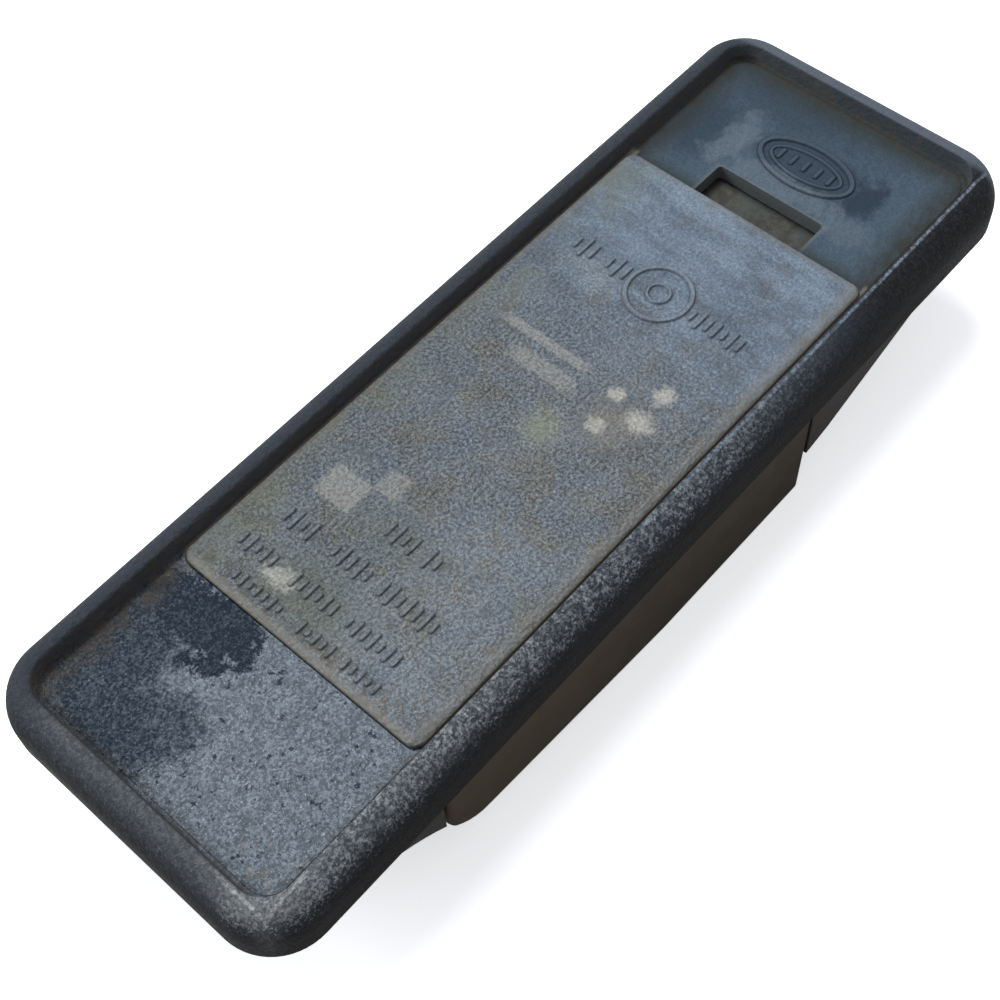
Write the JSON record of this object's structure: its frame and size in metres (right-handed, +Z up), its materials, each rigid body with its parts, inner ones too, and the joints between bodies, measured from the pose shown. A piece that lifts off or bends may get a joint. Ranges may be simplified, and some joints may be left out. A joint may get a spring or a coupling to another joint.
{
  "type": "registration plate lamp",
  "caption": "Slim black rear registration-plate lamp: rimmed cover with a lift-off marking panel and pry slot above, smoked lens trough with a festoon bulb below.",
  "frame": {"origin": "under the middle of the lamp, on the surface that it lies on (the flat of the lens)", "axes": "+X along the lamp towards the pry slot, +Y across it, +Z up out of the marked face"},
  "size_m": [0.118, 0.0402, 0.0212],
  "materials": {
    "cover_plastic": "spark-eroded grain, weathered blue-black",
    "panel_plastic": "fine grain, dusty grey",
    "lens_plastic": "smoked and aged, smooth",
    "seal_rubber": "matt",
    "reflector_metal": "bright",
    "carrier_plastic": "natural grey",
    "contact_brass": "stamped",
    "tinned_metal": "tinned",
    "bulb_glass": "clear",
    "bulb_cap_metal": "nickel plated",
    "filament_metal": "drawn wire",
    "block_plastic": "moulded",
    "screw_zinc": "zinc plated",
    "rusty_steel": "rusted",
    "insert_brass": "turned"
  },
  "bodies": {
    "root": {"cover_shell": "cover_plastic", "panel_seal": "seal_rubber", "lens": "lens_plastic", "lens_gasket": "seal_rubber", "bulb_carrier": "carrier_plastic", "contact_rivet_near": "contact_brass", "contact_rivet_far": "contact_brass", "feed_terminal": "contact_brass", "earth_terminal": "tinned_metal", "bulb_glass": "bulb_glass", "bulb_cap_near": "bulb_cap_metal", "bulb_cap_far": "bulb_cap_metal", "bulb_filament": "filament_metal", "end_block_near": "block_plastic", "end_block_far": "block_plastic", "wire_grommet": "seal_rubber", "block_screw_near_right": "screw_zinc", "block_screw_near_left": "screw_zinc", "block_screw_far_right": "screw_zinc", "block_screw_far_left": "screw_zinc", "catch_rivet": "rusty_steel", "mount_insert_near": "insert_brass", "mount_insert_far": "insert_brass"},
    "panel": {"marking_panel": "panel_plastic", "panel_reflector": "reflector_metal"},
    "catch": {"catch_spring": "rusty_steel"},
    "contact_near": {"contact_leaf_near": "contact_brass"},
    "contact_far": {"contact_leaf_far": "contact_brass"}
  },
  "joints": [
    {"name": "panel_lift", "type": "slide", "parent": "root", "child": "panel", "axis": [0, 0, 1], "range_m": [0, 0.03]},
    {"name": "catch_flex", "type": "hinge", "parent": "root", "child": "catch", "pos_m": [0.0446, 0, 0.01665], "axis": [0, -1, 0], "range_deg": [0, 5], "stiffness_Nm_per_rad": 0.05, "springref_deg": -8.59},
    {"name": "contact_near_flex", "type": "hinge", "parent": "root", "child": "contact_near", "pos_m": [-0.0282, 0, 0.01215], "axis": [0, 1, 0], "range_deg": [0, 4], "stiffness_Nm_per_rad": 0.002, "springref_deg": -11.46},
    {"name": "contact_far_flex", "type": "hinge", "parent": "root", "child": "contact_far", "pos_m": [0.01365, 0, 0.01215], "axis": [0, -1, 0], "range_deg": [0, 4], "stiffness_Nm_per_rad": 0.002, "springref_deg": -11.46}
  ]
}
